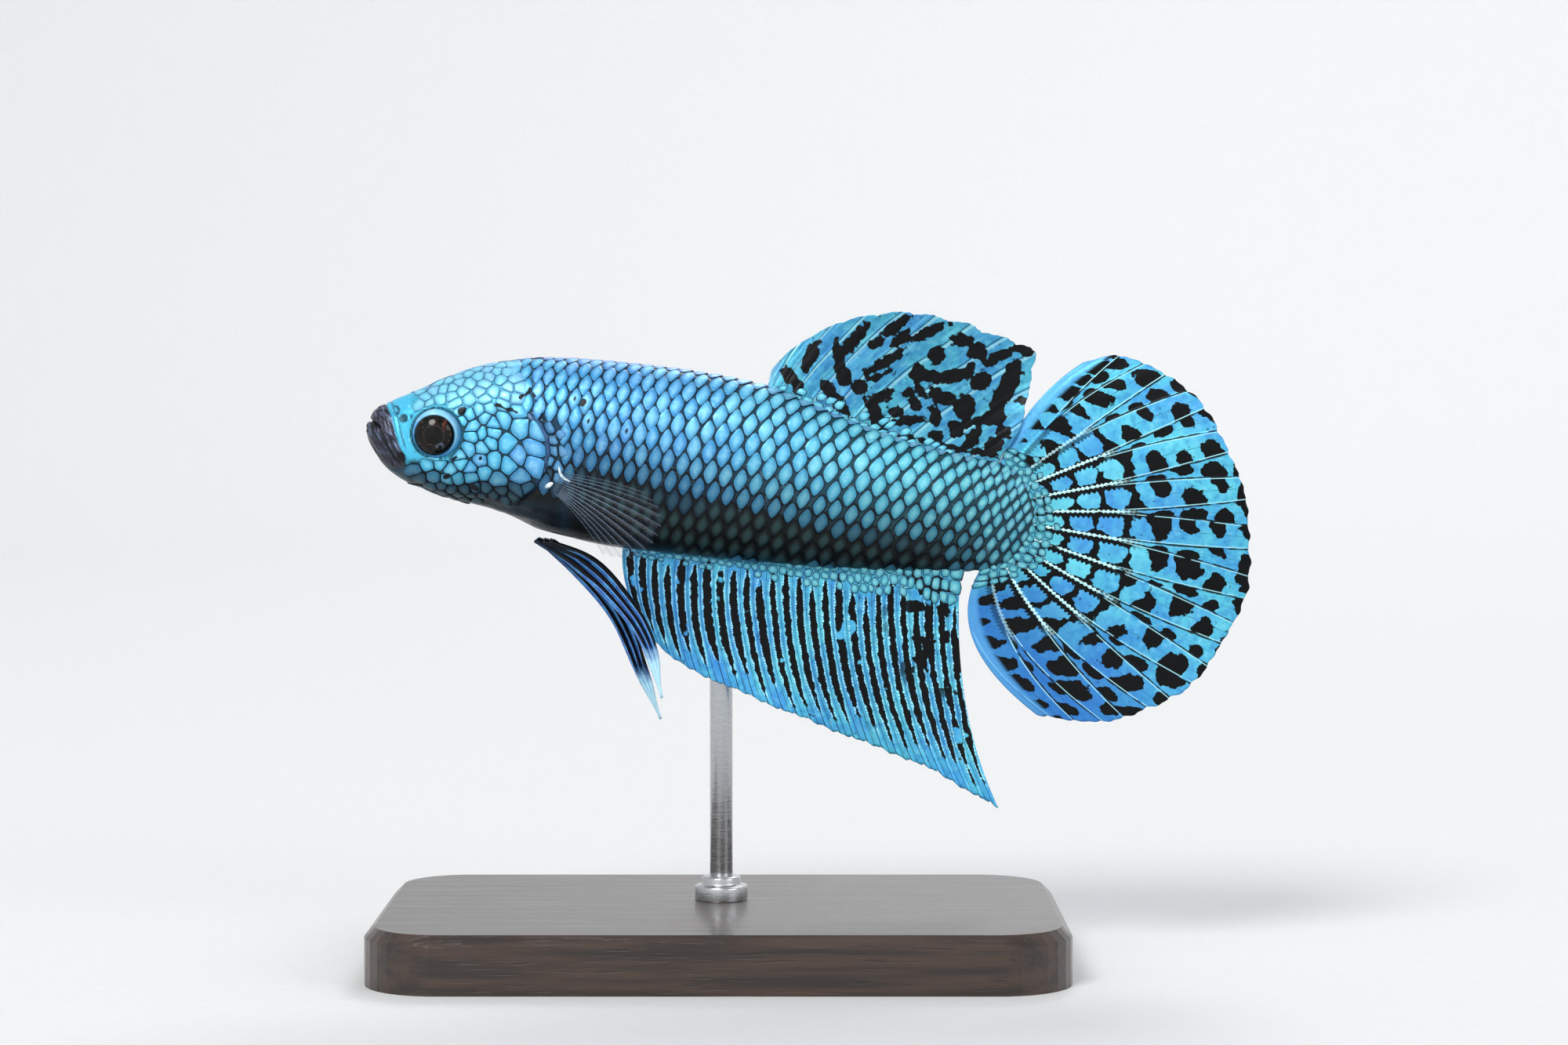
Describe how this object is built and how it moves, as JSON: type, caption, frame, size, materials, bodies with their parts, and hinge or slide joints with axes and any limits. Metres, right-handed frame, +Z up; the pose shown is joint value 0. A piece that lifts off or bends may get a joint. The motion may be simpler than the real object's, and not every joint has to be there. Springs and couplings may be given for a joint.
{
  "type": "betta fish model",
  "caption": "Life-size still model of a short-finned male betta fish with spread turquoise and black fins, held level on a plain display stand by a rod.",
  "frame": {"origin": "on the floor, under the middle of the whole model's length, on the fish's middle plane", "axes": "+X from the snout to the tail, +Y to the fish's right side, +Z up"},
  "size_m": [0.0696, 0.034, 0.0512],
  "materials": {
    "scaled_skin": "satin scales, turquoise to blue with dark joints and a dark band low on the flank",
    "lips": "dark purple-black folded lips and chin",
    "eye": "gloss, black-brown iris in a pale blue ring",
    "fin_membrane": "cyan-blue rays and membrane with black blotches",
    "clear_membrane": "nearly clear membrane with fine pale rays",
    "stand_wood": "dark stained fine-grained wood, satin",
    "stand_steel": "fine brushed round rod"
  },
  "bodies": {
    "root": {"head": "scaled_skin", "upper_jaw": "lips", "lower_jaw": "lips", "gill_cover_left": "scaled_skin", "gill_cover_right": "scaled_skin", "trunk_front": "scaled_skin", "trunk_rear": "scaled_skin", "tail_stalk": "scaled_skin", "eye_left": "eye", "eye_right": "eye", "dorsal_fin": "fin_membrane", "anal_fin": "fin_membrane", "caudal_fin": "fin_membrane", "pelvic_fin_left": "fin_membrane", "pelvic_fin_right": "fin_membrane", "pectoral_fin_left": "clear_membrane", "pectoral_fin_right": "clear_membrane", "stand_base": "stand_wood", "stand_rod": "stand_steel"}
  },
  "joints": []
}
